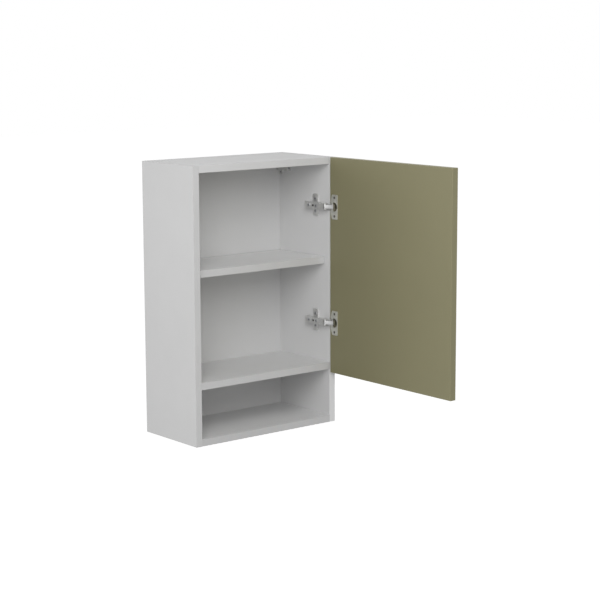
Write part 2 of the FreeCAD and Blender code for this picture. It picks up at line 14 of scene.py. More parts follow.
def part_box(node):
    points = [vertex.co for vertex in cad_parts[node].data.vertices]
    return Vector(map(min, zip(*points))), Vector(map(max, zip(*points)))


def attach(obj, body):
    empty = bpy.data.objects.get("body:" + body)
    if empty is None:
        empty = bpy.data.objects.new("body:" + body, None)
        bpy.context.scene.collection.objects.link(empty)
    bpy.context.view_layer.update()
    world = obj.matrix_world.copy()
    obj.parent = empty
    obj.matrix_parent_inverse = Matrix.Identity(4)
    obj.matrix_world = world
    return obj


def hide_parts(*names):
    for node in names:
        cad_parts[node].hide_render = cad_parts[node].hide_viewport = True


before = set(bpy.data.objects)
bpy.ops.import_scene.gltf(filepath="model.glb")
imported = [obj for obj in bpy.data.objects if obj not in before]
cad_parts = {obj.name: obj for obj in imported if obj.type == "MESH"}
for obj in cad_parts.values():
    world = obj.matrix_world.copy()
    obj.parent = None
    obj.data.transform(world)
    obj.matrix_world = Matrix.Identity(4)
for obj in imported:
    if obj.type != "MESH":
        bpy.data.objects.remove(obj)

log = logging.getLogger("wall_cabinet")
Triple = tuple[float, float, float]
Socket = bpy.types.NodeSocket
MM = 0.001
CRISP_ANGLE = math.radians(32)
FULL_WHITE = (1.0, 1.0, 1.0, 1.0)
SCREEN_FULL = 255


class Axis(Enum):
    """The directions of the cabinet's frame."""

    X = 0
    Y = 1
    Z = 2


class Facing(Enum):
    """The way that a screw's head faces: its axis, and which way along it."""

    LEFT = (Axis.X, -1.0)
    RIGHT = (Axis.X, 1.0)
    FRONT = (Axis.Y, -1.0)

    @property
    def axis(self) -> int:
        """The axis that the screw lies along."""
        return self.value[0].value

    @property
    def sign(self) -> float:
        """Which way along its axis the head faces."""
        return self.value[1]

    @property
    def turn(self) -> Triple:
        """The turn that lays an upright screw this way."""
        quarter = self.sign * math.pi / 2
        return (0.0, quarter, 0.0) if self.value[0] is Axis.X else (-quarter, 0.0, 0.0)


@dataclass(frozen=True)
class Pattern:
    """A cloudy pattern in a surface.

    Attributes:
        scale: Features per metre, across the grain if it has one.
        octaves: Levels of detail.
        fineness: Weight of the finer levels.
        along: Features per metre along the grain, or 0 for no grain.
    """

    scale: float
    octaves: float
    fineness: float
    along: float = 0.0


@dataclass(frozen=True)
class Spread:
    """A pattern stretched to a range of values.

    Attributes:
        pattern: The pattern.
        low: The result at its start.
        high: The result at its end.
        start: Pattern value that gives low.
        end: Pattern value that gives high.
    """

    pattern: Pattern
    low: float
    high: float
    start: float = 0.3
    end: float = 0.7


@dataclass(frozen=True)
class Relief:
    """A bump in a surface.

    Attributes:
        pattern: The pattern that gives its height.
        strength: How much of it shows.
        height: Its height in metres.
    """

    pattern: Pattern
    strength: float
    height: float


@dataclass(frozen=True)
class Skin:
    """How one kind of surface looks, whatever its colour.

    Attributes:
        tone: Shares of the finish's colour.
        gloss: Steps from the finish's roughness.
        reliefs: Bumps, each on the one before.
        fleck: Shares of brightness on top of the tone, if any.
        marks: Roughness that handling adds, if any.
        shine: Specular level.
        metallic: 1 for metal.
    """

    tone: Spread
    gloss: Spread
    reliefs: tuple[Relief, ...]
    fleck: Spread | None = None
    marks: Spread | None = None
    shine: float = 0.5
    metallic: float = 0.0


FACING_CLOUD = Pattern(scale=7.0, octaves=3.0, fineness=0.5)
FACING_FLECK = Pattern(scale=900.0, octaves=2.0, fineness=0.6)
FACING_SMEAR = Pattern(scale=22.0, octaves=4.0, fineness=0.55)
FACING_WAVE = Pattern(scale=60.0, octaves=2.0, fineness=0.5)
FACING_PEARL = Pattern(scale=1300.0, octaves=2.0, fineness=0.5)
BAND_CLOUD = Pattern(scale=11.0, octaves=3.0, fineness=0.5)
BAND_SCRAPES = Pattern(scale=2200.0, octaves=2.0, fineness=0.5, along=30.0)
PLATING_CLOUD = Pattern(scale=160.0, octaves=3.0, fineness=0.5)
PLATING_MARKS = Pattern(scale=700.0, octaves=4.0, fineness=0.7)
DRAW_LINES = Pattern(scale=3600.0, octaves=3.0, fineness=0.6, along=160.0)
MOULD_FLOW = Pattern(scale=90.0, octaves=3.0, fineness=0.5, along=20.0)
MOULD_GRAIN = Pattern(scale=2600.0, octaves=2.0, fineness=0.6)
WOOD_FIBRE = Pattern(scale=900.0, octaves=4.0, fineness=0.6, along=40.0)


class Surface(Enum):
    """The kinds of surface on the cabinet."""

    # Matt facing: a faint cloud, a pressed pearl texture on a slow wave, and uneven gloss
    BOARD = Skin(
        tone=Spread(FACING_CLOUD, 0.985, 1.013),
        gloss=Spread(FACING_SMEAR, -0.03, 0.04),
        reliefs=(Relief(FACING_WAVE, 0.05, 0.4 * MM), Relief(FACING_PEARL, 0.12, 0.1 * MM)),
        fleck=Spread(FACING_FLECK, 0.985, 1.015),
        shine=0.35,
    )
    # Edge band: fine scrape lines along it
    BAND = Skin(
        tone=Spread(BAND_CLOUD, 0.98, 1.02),
        gloss=Spread(BAND_SCRAPES, -0.04, 0.06),
        reliefs=(Relief(BAND_SCRAPES, 0.06, 0.06 * MM),),
        shine=0.4,
    )
    # Plated metal: fine draw lines, cloudy plating and small handling marks
    METAL = Skin(
        tone=Spread(PLATING_CLOUD, 0.9, 1.06),
        gloss=Spread(DRAW_LINES, -0.06, 0.06),
        reliefs=(Relief(DRAW_LINES, 0.1, 0.03 * MM),),
        marks=Spread(PLATING_MARKS, 0.0, 0.08, start=0.55, end=0.75),
        metallic=1.0,
    )
    # Moulded plastic: a spark-eroded skin and faint flow marks
    MOULDED = Skin(
        tone=Spread(MOULD_FLOW, 0.96, 1.02),
        gloss=Spread(MOULD_GRAIN, -0.05, 0.07),
        reliefs=(Relief(MOULD_GRAIN, 0.2, 0.08 * MM),),
        shine=0.45,
    )
    # Turned timber: long fibres
    TIMBER = Skin(
        tone=Spread(WOOD_FIBRE, 0.8, 1.08),
        gloss=Spread(WOOD_FIBRE, 0.06, -0.04),
        reliefs=(Relief(WOOD_FIBRE, 0.3, 0.1 * MM),),
    )


class NodeTree:
    """A node tree under construction, with short calls to add and join its nodes."""

    def __init__(self, tree: bpy.types.NodeTree) -> None:
        """Takes a tree and empties it.

        Args:
            tree: The tree.
        """
        self.tree = tree
        self.tree.nodes.clear()

    def fill(self, socket: Socket, value: object) -> None:
        """Sets an input to a value, or links it to an output."""
        if isinstance(value, Socket):
            self.tree.links.new(value, socket)
        else:
            socket.default_value = value

    def add(self, kind: str, **inputs: object) -> bpy.types.Node:
        """Adds a node and fills its inputs by name.

        Args:
            kind: The node's type.
            inputs: Values or outputs by input name, with underscores for spaces.

        Returns:
            The new node.
        """
        node = self.tree.nodes.new(kind)
        for name, value in inputs.items():
            self.fill(node.inputs[name.replace("_", " ")], value)
        return node

    def ordered(self, kind: str, *inputs: object, **settings: str) -> Socket:
        """Adds a node and fills its inputs in order.

        Args:
            kind: The node's type.
            inputs: Values or outputs, from the first input on.
            settings: The node's own settings by name.

        Returns:
            The node's first output.
        """
        node = self.tree.nodes.new(kind)
        for name, value in settings.items():
            setattr(node, name, value)
        for socket, value in zip(node.inputs, inputs):
            self.fill(socket, value)
        return node.outputs[0]

    def maths(self, operation: str, first: object, second: object = 0.0) -> Socket:
        """One sum on two values or outputs.

        Args:
            operation: The sum's name.
            first: First value or output.
            second: Second value or output.

        Returns:
            The result.
        """
        return self.ordered("ShaderNodeMath", first, second, operation=operation)


class ShaderTree(NodeTree):
    """The shader of a material or of the surround."""

    def __init__(self, owner: bpy.types.Material | bpy.types.World, output: str) -> None:
        """Empties the shader and gives it an output.

        Args:
            owner: The material or the surround.
            output: Type of the output node.
        """
        owner.use_nodes = True
        super().__init__(owner.node_tree)
        self.surface = self.add(output).inputs["Surface"]

    def seen_rays(self) -> Socket:
        """1 for rays that see a thing directly, in a mirror or through glass.

        Returns:
            The ray test.
        """
        rays = self.add("ShaderNodeLightPath").outputs
        result = rays["Is Camera Ray"]
        for name in ("Is Glossy Ray", "Is Transmission Ray"):
            result = self.maths("MAXIMUM", result, rays[name])
        return result


def shade(colour: Triple, share: float) -> Triple:
    """A colour made darker or lighter by a share."""
    return colour[0] * share, colour[1] * share, colour[2] * share


class PatternTree(ShaderTree):
    """A material's shader, with patterns on the object's own coordinates."""

    def __init__(self, material: bpy.types.Material, grain: Axis) -> None:
        """Starts the shader.

        Args:
            material: The material.
            grain: The direction of its drawn-out patterns.
        """
        super().__init__(material, "ShaderNodeOutputMaterial")
        self.grain = grain
        self.place = self.add("ShaderNodeTexCoord").outputs["Object"]
        self.made: dict[Pattern, Socket] = {}

    def noise(self, pattern: Pattern) -> Socket:
        """A pattern's value; each pattern is made once.

        Args:
            pattern: The pattern.

        Returns:
            Its value.
        """
        if pattern not in self.made:
            place, scale = self.place, pattern.scale
            if pattern.along:
                stretch = [pattern.scale] * len(Axis)
                stretch[self.grain.value] = pattern.along
                place, scale = self.add("ShaderNodeMapping", Vector=place, Scale=stretch).outputs[0], 1.0
            node = self.add("ShaderNodeTexNoise", Vector=place, Scale=scale, Detail=pattern.octaves,
                            Roughness=pattern.fineness)
            self.made[pattern] = node.outputs["Fac"]
        return self.made[pattern]

    def spread(self, spread: Spread, base: float = 0.0) -> Socket:
        """A pattern stretched to its range.

        Args:
            spread: The pattern and its range.
            base: What is added to both ends of the range.

        Returns:
            The stretched value.
        """
        return self.ordered("ShaderNodeMapRange", self.noise(spread.pattern), spread.start, spread.end,
                            base + spread.low, base + spread.high)

    def tint(self, tone: Spread, colour: Triple) -> Socket:
        """A colour that a pattern makes darker and lighter.

        Args:
            tone: The pattern, with its range as shares of the colour.
            colour: The colour.

        Returns:
            The uneven colour.
        """
        node = self.add("ShaderNodeMix")
        node.data_type = "RGBA"
        ends = [socket for socket in node.inputs if socket.type == "RGBA"]
        for end, share in zip(ends, (tone.low, tone.high)):
            end.default_value = (*shade(colour, share), 1.0)
        self.fill(node.inputs["Factor"], self.spread(replace(tone, low=0.0, high=1.0)))
        return next(socket for socket in node.outputs if socket.type == "RGBA")

    def bump(self, reliefs: tuple[Relief, ...]) -> Socket:
        """The surface's direction after its bumps.

        Args:
            reliefs: The bumps, each on the one before.

        Returns:
            The direction.
        """
        below: dict[str, Socket] = {}
        for relief in reliefs:
            node = self.add("ShaderNodeBump", Height=self.noise(relief.pattern), Strength=relief.strength,
                            Distance=relief.height, **below)
            below = {"Normal": node.outputs["Normal"]}
        return below["Normal"]


@dataclass(frozen=True)
class Finish:
    """One finish of the cabinet.

    Attributes:
        name: The material's name.
        surface: The kind of surface.
        colour: Its colour, scene-linear.
        roughness: Its middle roughness.
        grain: The direction of its drawn-out patterns.
    """

    name: str
    surface: Surface
    colour: Triple
    roughness: float
    grain: Axis = Axis.Z

    @cache
    def material(self) -> bpy.types.Material:
        """The finish as a material, made once.

        Returns:
            The material.
        """
        material = bpy.data.materials.new(self.name)
        tree = PatternTree(material, self.grain)
        skin = self.surface.value
        colour = tree.tint(skin.tone, self.colour)
        if skin.fleck is not None:
            value = tree.spread(skin.fleck)
            colour = tree.add("ShaderNodeHueSaturation", Color=colour, Value=value).outputs["Color"]
        rough = tree.spread(skin.gloss, self.roughness)
        if skin.marks is not None:
            rough = tree.maths("ADD", rough, tree.spread(skin.marks))
        shader = tree.add("ShaderNodeBsdfPrincipled", Base_Color=colour, Roughness=rough,
                          Normal=tree.bump(skin.reliefs), Specular_IOR_Level=skin.shine,
                          Metallic=skin.metallic)
        tree.fill(tree.surface, shader.outputs["BSDF"])
        return material


def screen(red: int, green: int, blue: int) -> Triple:
    """A colour given in screen values, as scene-linear numbers.

    Args:
        red: Red from 0 to 255.
        green: Green from 0 to 255.
        blue: Blue from 0 to 255.

    Returns:
        The colour in scene-linear values.
    """
    colour = Color((red / SCREEN_FULL, green / SCREEN_FULL, blue / SCREEN_FULL)).from_srgb_to_scene_linear()
    return colour.r, colour.g, colour.b


WHITE = screen(208, 208, 208)
OLIVE = screen(128, 124, 95)
OLIVE_FACING = Finish("olive_facing", Surface.BOARD, OLIVE, 0.5)
# The band is a little paler than the facing: painted light on the door's edge
OLIVE_BAND = Finish("olive_band", Surface.BAND, shade(OLIVE, 1.06), 0.44, Axis.Z)
NICKEL = Finish("satin_nickel", Surface.METAL, (0.79, 0.79, 0.73), 0.44, Axis.Y)
DULL_NICKEL = Finish("dull_nickel", Surface.METAL, (0.73, 0.73, 0.72), 0.46, Axis.Y)
BRIGHT_NICKEL = Finish("bright_nickel", Surface.METAL, (0.57, 0.57, 0.57), 0.42, Axis.Y)
# Painted shade: dark nickel for screw recesses and the channel under the hinge arm, where shade falls
PAINTED_SHADE = Finish("painted_shade_dark_nickel", Surface.METAL, (0.15, 0.145, 0.13), 0.46, Axis.Y)
# Painted shade: darker nickel for the inside of the cup, the links' ends in it and its pins
CUP_INSIDE = Finish("painted_shade_cup_inside", Surface.METAL, (0.38, 0.365, 0.29), 0.5, Axis.Z)
ZINC = Finish("zinc_plate", Surface.METAL, (0.55, 0.56, 0.58), 0.4, Axis.X)
# Painted shade: zinc darkened for the cup screws' heads, for the shadow round each head in its seat
PAINTED_SHADE_ZINC = Finish("painted_shade_zinc_plate", Surface.METAL, (0.22, 0.22, 0.2), 0.44, Axis.X)
PALE_HOUSING = Finish("pale_housing", Surface.MOULDED, screen(196, 196, 194), 0.48, Axis.Y)
BEECH = Finish("beech", Surface.TIMBER, (0.52, 0.34, 0.18), 0.6, Axis.X)


def dress(node: str, finish: Finish) -> None:
    """Gives a CAD node its finish.

    Args:
        node: The node's name.
        finish: The finish that it takes.
    """
    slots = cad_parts[node].data.materials
    slots.clear()
    slots.append(finish.material())
    log.info("%s: %s", node, finish.name)


def link(name: str, data: bpy.types.ID) -> bpy.types.Object:
    """A new object at the origin.

    Args:
        name: The object's name.
        data: Its mesh, lamp or camera.

    Returns:
        The object.
    """
    made = bpy.data.objects.new(name, data)
    bpy.context.scene.collection.objects.link(made)
    return made


def merged(node: str, reach: float) -> bmesh.types.BMesh:
    """A copy of a CAD node's mesh, its points joined where they lie together.

    Args:
        node: The node's name.
        reach: Points nearer than this become one, in metres.

    Returns:
        The copy.
    """
    work = bmesh.new()
    work.from_mesh(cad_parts[node].data)
    bmesh.ops.remove_doubles(work, verts=work.verts, dist=reach)
    return work


def baked(piece: bpy.types.Object, reach: float) -> None:
    """Turns a piece's modifiers into its own plain mesh, without points that lie together or empty faces.

    Args:
        piece: The piece to finish.
        reach: Points nearer than this become one, in metres.
    """
    graph = bpy.context.evaluated_depsgraph_get()
    mesh = bpy.data.meshes.new_from_object(piece.evaluated_get(graph))
    mesh.name = piece.name
    piece.modifiers.clear()
    piece.data = mesh
    work = bmesh.new()
    work.from_mesh(mesh)
    bmesh.ops.remove_doubles(work, verts=work.verts, dist=reach)
    bmesh.ops.dissolve_degenerate(work, edges=work.edges, dist=reach)
    work.to_mesh(mesh)
    work.free()


def settle(piece: bpy.types.Object, body: str, slot: str, *nodes: str) -> None:
    """Shades a baked piece and puts it on its body, in place of CAD nodes.

    Args:
        piece: The piece.
        body: The body that it rides on.
        slot: The record's material slot; not used.
        nodes: The nodes that it stands for.
    """
    piece.data.shade_smooth()
    piece.data.set_sharp_from_angle(angle=CRISP_ANGLE)
    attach(piece, body)
    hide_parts(*nodes)
    log.info("%s stands for %s", piece.name, ", ".join(nodes))


@dataclass(frozen=True)
class Hollow:
    """A box in which a piece's faces are dark with oil and out of the light.

    Attributes:
        low: Its low corner.
        high: Its high corner.
        finish: The painted shade in it.
    """

    low: Vector
    high: Vector
    finish: Finish

    def holds(self, point: Vector) -> bool:
        """Whether a point lies in the box."""
        return all(low < value < high for low, value, high in zip(self.low, point, self.high))


@dataclass
class EasedPressing:
    """A stamped, cast or moulded piece whose sharp edges are eased, in place of a CAD node.

    Attributes:
        node: The CAD node that it stands for.
        body: The body that it rides on.
        slot: The record's material slot.
        finish: Its finish.
        ease: Width of the eased edges in metres.
        segments: Steps across an eased edge.
        hollow: Where its faces take painted shade, if anywhere.
        merge: Points nearer than this become one.
        flat_angle: Faces that meet flatter than this become one.
    """

    node: str
    body: str
    slot: str
    finish: Finish
    ease: float
    segments: int = 2
    hollow: Hollow | None = None
    merge: float = 0.0005 * MM
    flat_angle: float = math.radians(1)

    def mesh(self) -> bpy.types.Mesh:
        """The node's mesh with its triangles joined into faces.

        Returns:
            A new mesh.
        """
        mesh = bpy.data.meshes.new(self.node + "_eased")
        mesh.materials.append(self.finish.material())
        work = merged(self.node, self.merge)
        bmesh.ops.dissolve_limit(work, angle_limit=self.flat_angle, verts=work.verts, edges=work.edges)
        if self.hollow is not None:
            mesh.materials.append(self.hollow.finish.material())
            whole = [*work.verts, *work.edges, *work.faces]
            bmesh.ops.bisect_plane(work, geom=whole, dist=self.merge, plane_co=self.hollow.low,
                                   plane_no=(1.0, 0.0, 0.0))
            for face in work.faces:
                face.material_index = int(self.hollow.holds(face.calc_center_median()))
        work.to_mesh(mesh)
        work.free()
        return mesh

    def build(self) -> None:
        """Makes the piece and puts it on its body."""
        piece = link(self.node + "_eased", self.mesh())
        bevel = piece.modifiers.new("ease", "BEVEL")
        bevel.width = self.ease
        bevel.segments = self.segments
        bevel.limit_method = "ANGLE"
        bevel.angle_limit = CRISP_ANGLE
        bevel.use_clamp_overlap = True
        baked(piece, self.merge)
        settle(piece, self.body, self.slot, self.node)


class ScrewTree(NodeTree):
    """The node tree that sets cross-recessed screws on points.

    Attributes:
        SIZES: Names of the sizes that it takes, in metres.
        FINISHES: Names of the finishes that it takes: the plating, and painted shade for the recess.
        MARK: Name of the mark on the faces in a recess, which take painted shade.
        HEAD_SIDES: Sides of the round head.
        HEAD_RINGS: Rings across the head's faces, which the dome bends.
        SHANK_SIDES: Sides of the round shank.
        TAPER_SIDES: Sides of the recess's tapered middle.
        SECOND_BAR: Depth of the second bar as a share of the first, so that their floors don't meet.
        TAPER: Radius at the tip of the tapered middle as a share of its top.
        OVERLAP: Share of a shape's length that lies past the face where it joins or cuts.
        MARK_ROOM: How far the mark reaches past the recess, as a share.
    """

    SIZES = ("Head Radius", "Head Height", "Dome", "Recess Length", "Recess Width", "Recess Depth",
             "Shank Radius", "Shank Length")
    FINISHES = ("Plating", "Recess Finish")
    MARK = "recess"
    HEAD_SIDES = 40
    HEAD_RINGS = 6
    SHANK_SIDES = 24
    TAPER_SIDES = 16
    SECOND_BAR = 0.96
    TAPER = 0.4
    OVERLAP = 0.02
    MARK_ROOM = 1.04

    def __init__(self) -> None:
        """Builds the tree once."""
        super().__init__(bpy.data.node_groups.new("cross_recess_screws", "GeometryNodeTree"))
        self.sockets: dict[str, str] = {}
        self.socket("Seats", "Geometry")
        for name in self.SIZES:
            self.socket(name, "Float")
        self.socket("Facing", "Vector")
        self.socket("Seed", "Int")
        for name in self.FINISHES:
            self.socket(name, "Material")
        self.socket("Screws", "Geometry", "OUTPUT")
        self.given = self.add("NodeGroupInput").outputs
        self.grow()

    def socket(self, name: str, kind: str, side: str = "INPUT") -> None:
        """Adds an input or output of the whole tree and keeps its identifier.

        Args:
            name: The socket's name.
            kind: Its type.
            side: INPUT or OUTPUT.
        """
        made = self.tree.interface.new_socket(name=name, in_out=side, socket_type="NodeSocket" + kind)
        self.sockets[name] = made.identifier

    def from_axis(self) -> tuple[Socket, Socket]:
        """Distance from the screw's axis, and height along it.

        Returns:
            The two distances.
        """
        point = self.add("GeometryNodeInputPosition").outputs[0]
        across, up, height = self.add("ShaderNodeSeparateXYZ", Vector=point).outputs
        squares = self.maths("ADD", self.maths("MULTIPLY", across, across), self.maths("MULTIPLY", up, up))
        return self.maths("SQRT", squares), height

    def raised(self, mesh: Socket, height: Socket) -> Socket:
        """A shape moved along the screw's axis.

        Args:
            mesh: The shape.
            height: How far.

        Returns:
            The moved shape.
        """
        lift = self.add("ShaderNodeCombineXYZ", Z=height).outputs[0]
        return self.add("GeometryNodeTransform", Geometry=mesh, Translation=lift).outputs[0]

    def sunk(self, mesh: Socket, length: Socket) -> Socket:
        """A centred shape moved down until only its overlap stands above the seat.

        Args:
            mesh: The shape.
            length: Its length along the axis.

        Returns:
            The moved shape.
        """
        return self.raised(mesh, self.maths("MULTIPLY", length, self.OVERLAP - 0.5))

    def head(self) -> Socket:
        """A flat round head, domed towards its middle.

        Returns:
            The head.
        """
        radius, tall = self.given["Head Radius"], self.given["Head Height"]
        disc = self.add("GeometryNodeMeshCylinder", Vertices=self.HEAD_SIDES, Side_Segments=1,
                        Fill_Segments=self.HEAD_RINGS, Radius=radius, Depth=tall)
        disc.fill_type = "NGON"
        reach, height = self.from_axis()
        share = self.maths("DIVIDE", reach, radius)
        drop = self.maths("MULTIPLY", self.maths("MULTIPLY", share, share), self.given["Dome"])
        down = self.add("ShaderNodeCombineXYZ", Z=self.maths("MULTIPLY", drop, -1.0)).outputs[0]
        upper = self.maths("GREATER_THAN", height, 0.0)
        domed = self.add("GeometryNodeSetPosition", Geometry=disc.outputs["Mesh"], Selection=upper,
                         Offset=down)
        return self.raised(domed.outputs[0], self.maths("DIVIDE", tall, 2.0))

    def shank(self) -> Socket:
        """The plain round shank under the head, reaching a little into it.

        Returns:
            The shank.
        """
        length = self.given["Shank Length"]
        bar = self.add("GeometryNodeMeshCylinder", Vertices=self.SHANK_SIDES,
                       Radius=self.given["Shank Radius"], Depth=length)
        return self.sunk(bar.outputs["Mesh"], length)

    def carved(self, operation: str, first: Socket | None, others: list[Socket]) -> Socket:
        """Solid shapes joined, or cut from a first one.

        Args:
            operation: UNION or DIFFERENCE.
            first: The shape that is cut, if any.
            others: The shapes that are joined or that cut.

        Returns:
            The result.
        """
        node = self.add("GeometryNodeMeshBoolean")
        node.operation = operation
        node.solver = "MANIFOLD"
        if first is not None:
            self.fill(node.inputs["Mesh 1"], first)
        for other in others:
            self.fill(node.inputs["Mesh 2"], other)
        return node.outputs["Mesh"]

    def recess(self) -> list[Socket]:
        """The cross that is cut into the head: two bars and a deeper tapered middle.

        Returns:
            The cutters.
        """
        length, wide = self.given["Recess Length"], self.given["Recess Width"]
        # The bars are centred on the head's top, so that half of each cuts
        deep = self.maths("MULTIPLY", self.given["Recess Depth"], 2.0)
        second = self.maths("MULTIPLY", deep, self.SECOND_BAR)
        cutters = []
        for across, up, reach in ((length, wide, deep), (wide, length, second)):
            size = self.add("ShaderNodeCombineXYZ", X=across, Y=up, Z=reach).outputs[0]
            cutters.append(self.add("GeometryNodeMeshCube", Size=size).outputs["Mesh"])
        middle = self.add("GeometryNodeMeshCone", Vertices=self.TAPER_SIDES, Radius_Top=wide,
                          Radius_Bottom=self.maths("MULTIPLY", wide, self.TAPER), Depth=deep)
        cutters.append(self.sunk(middle.outputs["Mesh"], deep))
        return [self.raised(cutter, self.given["Head Height"]) for cutter in cutters]

    def in_recess(self) -> Socket:
        """Tests for faces inside the recess: near the axis and below the domed top.

        Returns:
            The test.
        """
        reach, height = self.from_axis()
        tall = self.given["Head Height"]
        room = self.maths("MULTIPLY", self.given["Recess Length"], self.MARK_ROOM / 2)
        near = self.maths("LESS_THAN", reach, room)
        below = self.maths("LESS_THAN", height, self.maths("SUBTRACT", tall, self.given["Dome"]))
        # The tapered middle is twice as deep as the bars
        depth = self.maths("MULTIPLY", self.given["Recess Depth"], 2.0 * self.MARK_ROOM)
        above = self.maths("GREATER_THAN", height, self.maths("SUBTRACT", tall, depth))
        return self.maths("MULTIPLY", near, self.maths("MULTIPLY", below, above))

    def marked(self, mesh: Socket) -> Socket:
        """A screw whose faces in the recess carry the mark.

        Args:
            mesh: The screw.

        Returns:
            The marked screw.
        """
        node = self.add("GeometryNodeStoreNamedAttribute")
        node.data_type, node.domain = "BOOLEAN", "FACE"
        for name, value in (("Geometry", mesh), ("Name", self.MARK), ("Value", self.in_recess())):
            self.fill(node.inputs[name], value)
        return node.outputs[0]

    def twist(self) -> Socket:
        """A chance turn of each screw about its own axis.

        Returns:
            The turn.
        """
        chance = self.add("FunctionNodeRandomValue")
        chance.data_type = "FLOAT"
        ends = [socket for socket in chance.inputs if socket.type == "VALUE"]
        ends[0].default_value, ends[1].default_value = 0.0, math.pi
        self.fill(chance.inputs["Seed"], self.given["Seed"])
        angle = next(socket for socket in chance.outputs if socket.type == "VALUE")
        return self.add("ShaderNodeCombineXYZ", Z=angle).outputs[0]

    def grow(self) -> None:
        """Joins the head and the shank, cuts the recess and sets one screw on each seat."""
        solid = self.carved("UNION", None, [self.head(), self.shank()])
        screw = self.marked(self.carved("DIFFERENCE", solid, self.recess()))
        set_out = self.add("GeometryNodeInstanceOnPoints", Points=self.given["Seats"], Instance=screw,
                           Rotation=self.given["Facing"])
        turned = self.add("GeometryNodeRotateInstances", Instances=set_out.outputs[0],
                          Rotation=self.twist())
        real = self.add("GeometryNodeRealizeInstances", Geometry=turned.outputs[0])
        plated = self.add("GeometryNodeSetMaterial", Geometry=real.outputs[0],
                          Material=self.given["Plating"])
        # The recess takes painted shade, a dark finish where shade falls in the cross
        mark = self.add("GeometryNodeInputNamedAttribute", Name=self.MARK)
        mark.data_type = "BOOLEAN"
        painted_shade = self.add("GeometryNodeSetMaterial", Geometry=plated.outputs[0], Selection=mark.outputs[0],
                         Material=self.given["Recess Finish"])
        self.add("NodeGroupOutput", Screws=painted_shade.outputs[0])


def solid_boxes(node: str, reach: float) -> list[tuple[Vector, Vector]]:
    """The boxes of the separate solids in a CAD node.

    Args:
        node: The node's name.
        reach: Points nearer than this become one, in metres.

    Returns:
        The low and high corner of each solid.
    """
    work = merged(node, reach)
    boxes = []
    seen = set()
    for start in work.verts:
        if start in seen:
            continue
        seen.add(start)
        solid = [start]
        for point in solid:
            ends = [edge.other_vert(point) for edge in point.link_edges]
            fresh = [end for end in ends if end not in seen]
            seen.update(fresh)
            solid.extend(fresh)
        spans = list(zip(*(point.co for point in solid)))
        boxes.append((Vector(map(min, spans)), Vector(map(max, spans))))
    work.free()
    return boxes


@dataclass
class ScrewSet:
    """Cross-recessed screws of one kind on one body.

    Attributes:
        name: The piece's name.
        nodes: The CAD nodes that they stand for.
        body: The body that they ride on.
        slot: The record's material slot.
        facing: The way that the heads face.
        seed: Fixes how each recess is turned.
        plating: The finish of the heads.
        head_height: Height of a head in metres.
        dome_share: Rise of the head's middle as a share of its height.
        recess_share: Length of the recess as a share of the head's radius.
        bar_share: Width of the recess's bars as a share of their length.
        depth_share: Depth of the bars as a share of the head's height.
        shank_share: Radius of the shank as a share of the head's.
        merge: Points nearer than this become one.
    """

    name: str
    nodes: tuple[str, ...]
    body: str
    slot: str
    facing: Facing
    seed: int
    plating: Finish = ZINC
    head_height: float = 0.9 * MM
    dome_share: float = 0.3
    recess_share: float = 1.2
    bar_share: float = 0.27
    depth_share: float = 0.8
    shank_share: float = 0.54
    merge: float = 0.005 * MM

    def seats(self) -> tuple[list[Vector], float, float]:
        """Where the heads sit, and how large a screw is.

        Returns:
            The seats, the head's radius and the screw's length.
        """
        points = []
        radius = length = 0.0
        axis, sign = self.facing.axis, self.facing.sign
        for node in self.nodes:
            for low, high in solid_boxes(node, self.merge):
                length = high[axis] - low[axis]
                radius = (high.z - low.z) / 2
                seat = (low + high) / 2
                seat[axis] += sign * (length / 2 - self.head_height)
                points.append(seat)
        return points, radius, length

    def build(self, tree: ScrewTree) -> None:
        """Makes the screws and puts them on their body.

        Args:
            tree: The screws' node tree.
        """
        points, radius, length = self.seats()
        mesh = bpy.data.meshes.new(self.name)
        mesh.from_pydata([tuple(point) for point in points], [], [])
        piece = link(self.name, mesh)
        grown = piece.modifiers.new("screws", "NODES")
        grown.node_group = tree.tree
        recess = self.recess_share * radius
        values = {
            "Head Radius": radius,
            "Head Height": self.head_height,
            "Dome": self.dome_share * self.head_height,
            "Recess Length": recess,
            "Recess Width": self.bar_share * recess,
            "Recess Depth": self.depth_share * self.head_height,
            "Shank Radius": self.shank_share * radius,
            "Shank Length": (length - self.head_height) / (1.0 - tree.OVERLAP),
            "Facing": self.facing.turn,
            "Seed": self.seed,
            "Plating": self.plating.material(),
            "Recess Finish": PAINTED_SHADE.material(),
        }
        for name, value in values.items():
            grown[tree.sockets[name]] = value
        baked(piece, self.merge)
        piece.data.attributes.remove(piece.data.attributes[tree.MARK])
        settle(piece, self.body, self.slot, *self.nodes)


@dataclass(frozen=True)
class WhiteBoard:
    """One white-faced board.

    Attributes:
        node: The board's CAD node.
        tone: How pale it is, as a share of the cabinet's white: painted light and shade, for how much light
            falls on the board.
        roughness: Its middle roughness.
        grain: The direction that it runs in.
        surface: The kind of surface.
    """

    node: str
    tone: float
    roughness: float = 0.5
    grain: Axis = Axis.Z
    surface: Surface = Surface.BOARD

    def build(self) -> None:
        """Dresses the board."""
        colour = shade(WHITE, self.tone)
        dress(self.node, Finish("white_" + self.node, self.surface, colour, self.roughness, self.grain))


@dataclass(frozen=True)
class WhiteBand(WhiteBoard):
    """The white edge band on the front of a board."""

    roughness: float = 0.42
    surface: Surface = Surface.BAND


